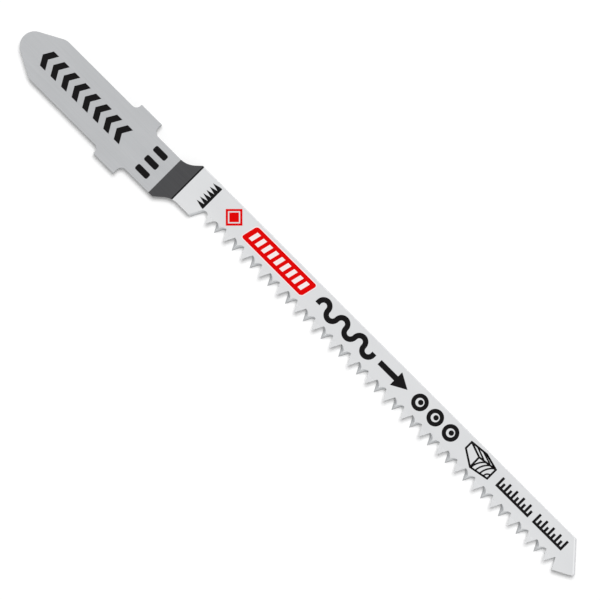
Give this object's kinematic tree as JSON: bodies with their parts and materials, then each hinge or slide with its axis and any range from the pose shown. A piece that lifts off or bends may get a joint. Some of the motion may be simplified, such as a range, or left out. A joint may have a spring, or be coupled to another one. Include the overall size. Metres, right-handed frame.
{
  "type": "jigsaw blade",
  "caption": "Flat steel saw blade with a rounded tang, T-shaped shank lugs, a narrow neck, a row of fine cross-ground side-set teeth and a slanted tip.",
  "frame": {"origin": "middle of the shank's lugs, on the shank's centre line and in the middle of the steel's thickness", "axes": "+X along the blade from the shank to the tip, +Y across the blade from the teeth to the back edge, +Z out of the printed face"},
  "size_m": [0.0831, 0.0074, 0.0014],
  "materials": {
    "blade": "bare ground shank, silver-white lacquered body with ground bare tooth flanks"
  },
  "bodies": {
    "root": {"blade": "blade"}
  },
  "joints": []
}
